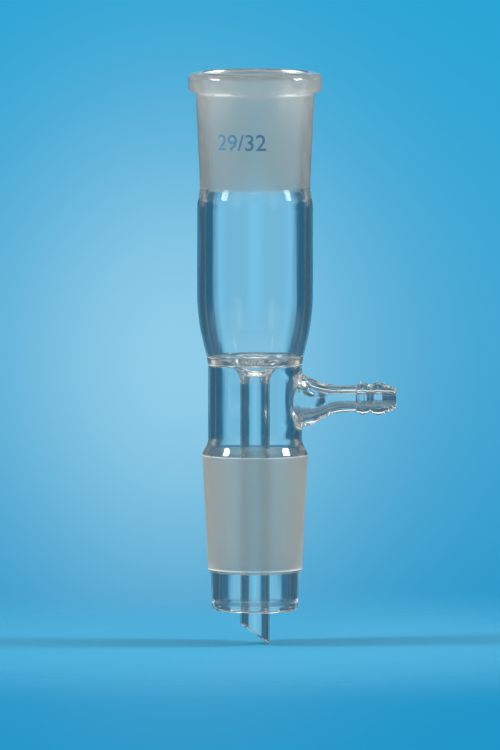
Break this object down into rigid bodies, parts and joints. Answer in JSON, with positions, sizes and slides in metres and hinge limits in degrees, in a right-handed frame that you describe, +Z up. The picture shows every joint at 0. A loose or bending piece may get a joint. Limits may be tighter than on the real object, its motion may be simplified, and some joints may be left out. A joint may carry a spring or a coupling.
{
  "type": "vacuum receiver adapter",
  "caption": "Straight glass receiver adapter: ground socket above, ground cone below, inner drip tube with a bevelled tip, and a side nozzle for a vacuum hose.",
  "frame": {"origin": "on the adapter's axis, at the wide end of the lower ground cone, where its 29.2 mm diameter is gauged and where it seats in a receiving flask's socket", "axes": "+Z up along the adapter's axis from the drip tip to the socket's rim; +X along the hose nozzle, away from the axis; -Z is the way the cone goes into the flask"},
  "size_m": [0.0575, 0.037, 0.1583],
  "materials": {
    "borosilicate_glass": "clear, fire polished, with ground joint surfaces",
    "ground_glass": "finely ground, matt, translucent",
    "size_mark": "thin fired enamel mark"
  },
  "bodies": {
    "root": {"glass_adapter": "borosilicate_glass"}
  },
  "joints": []
}
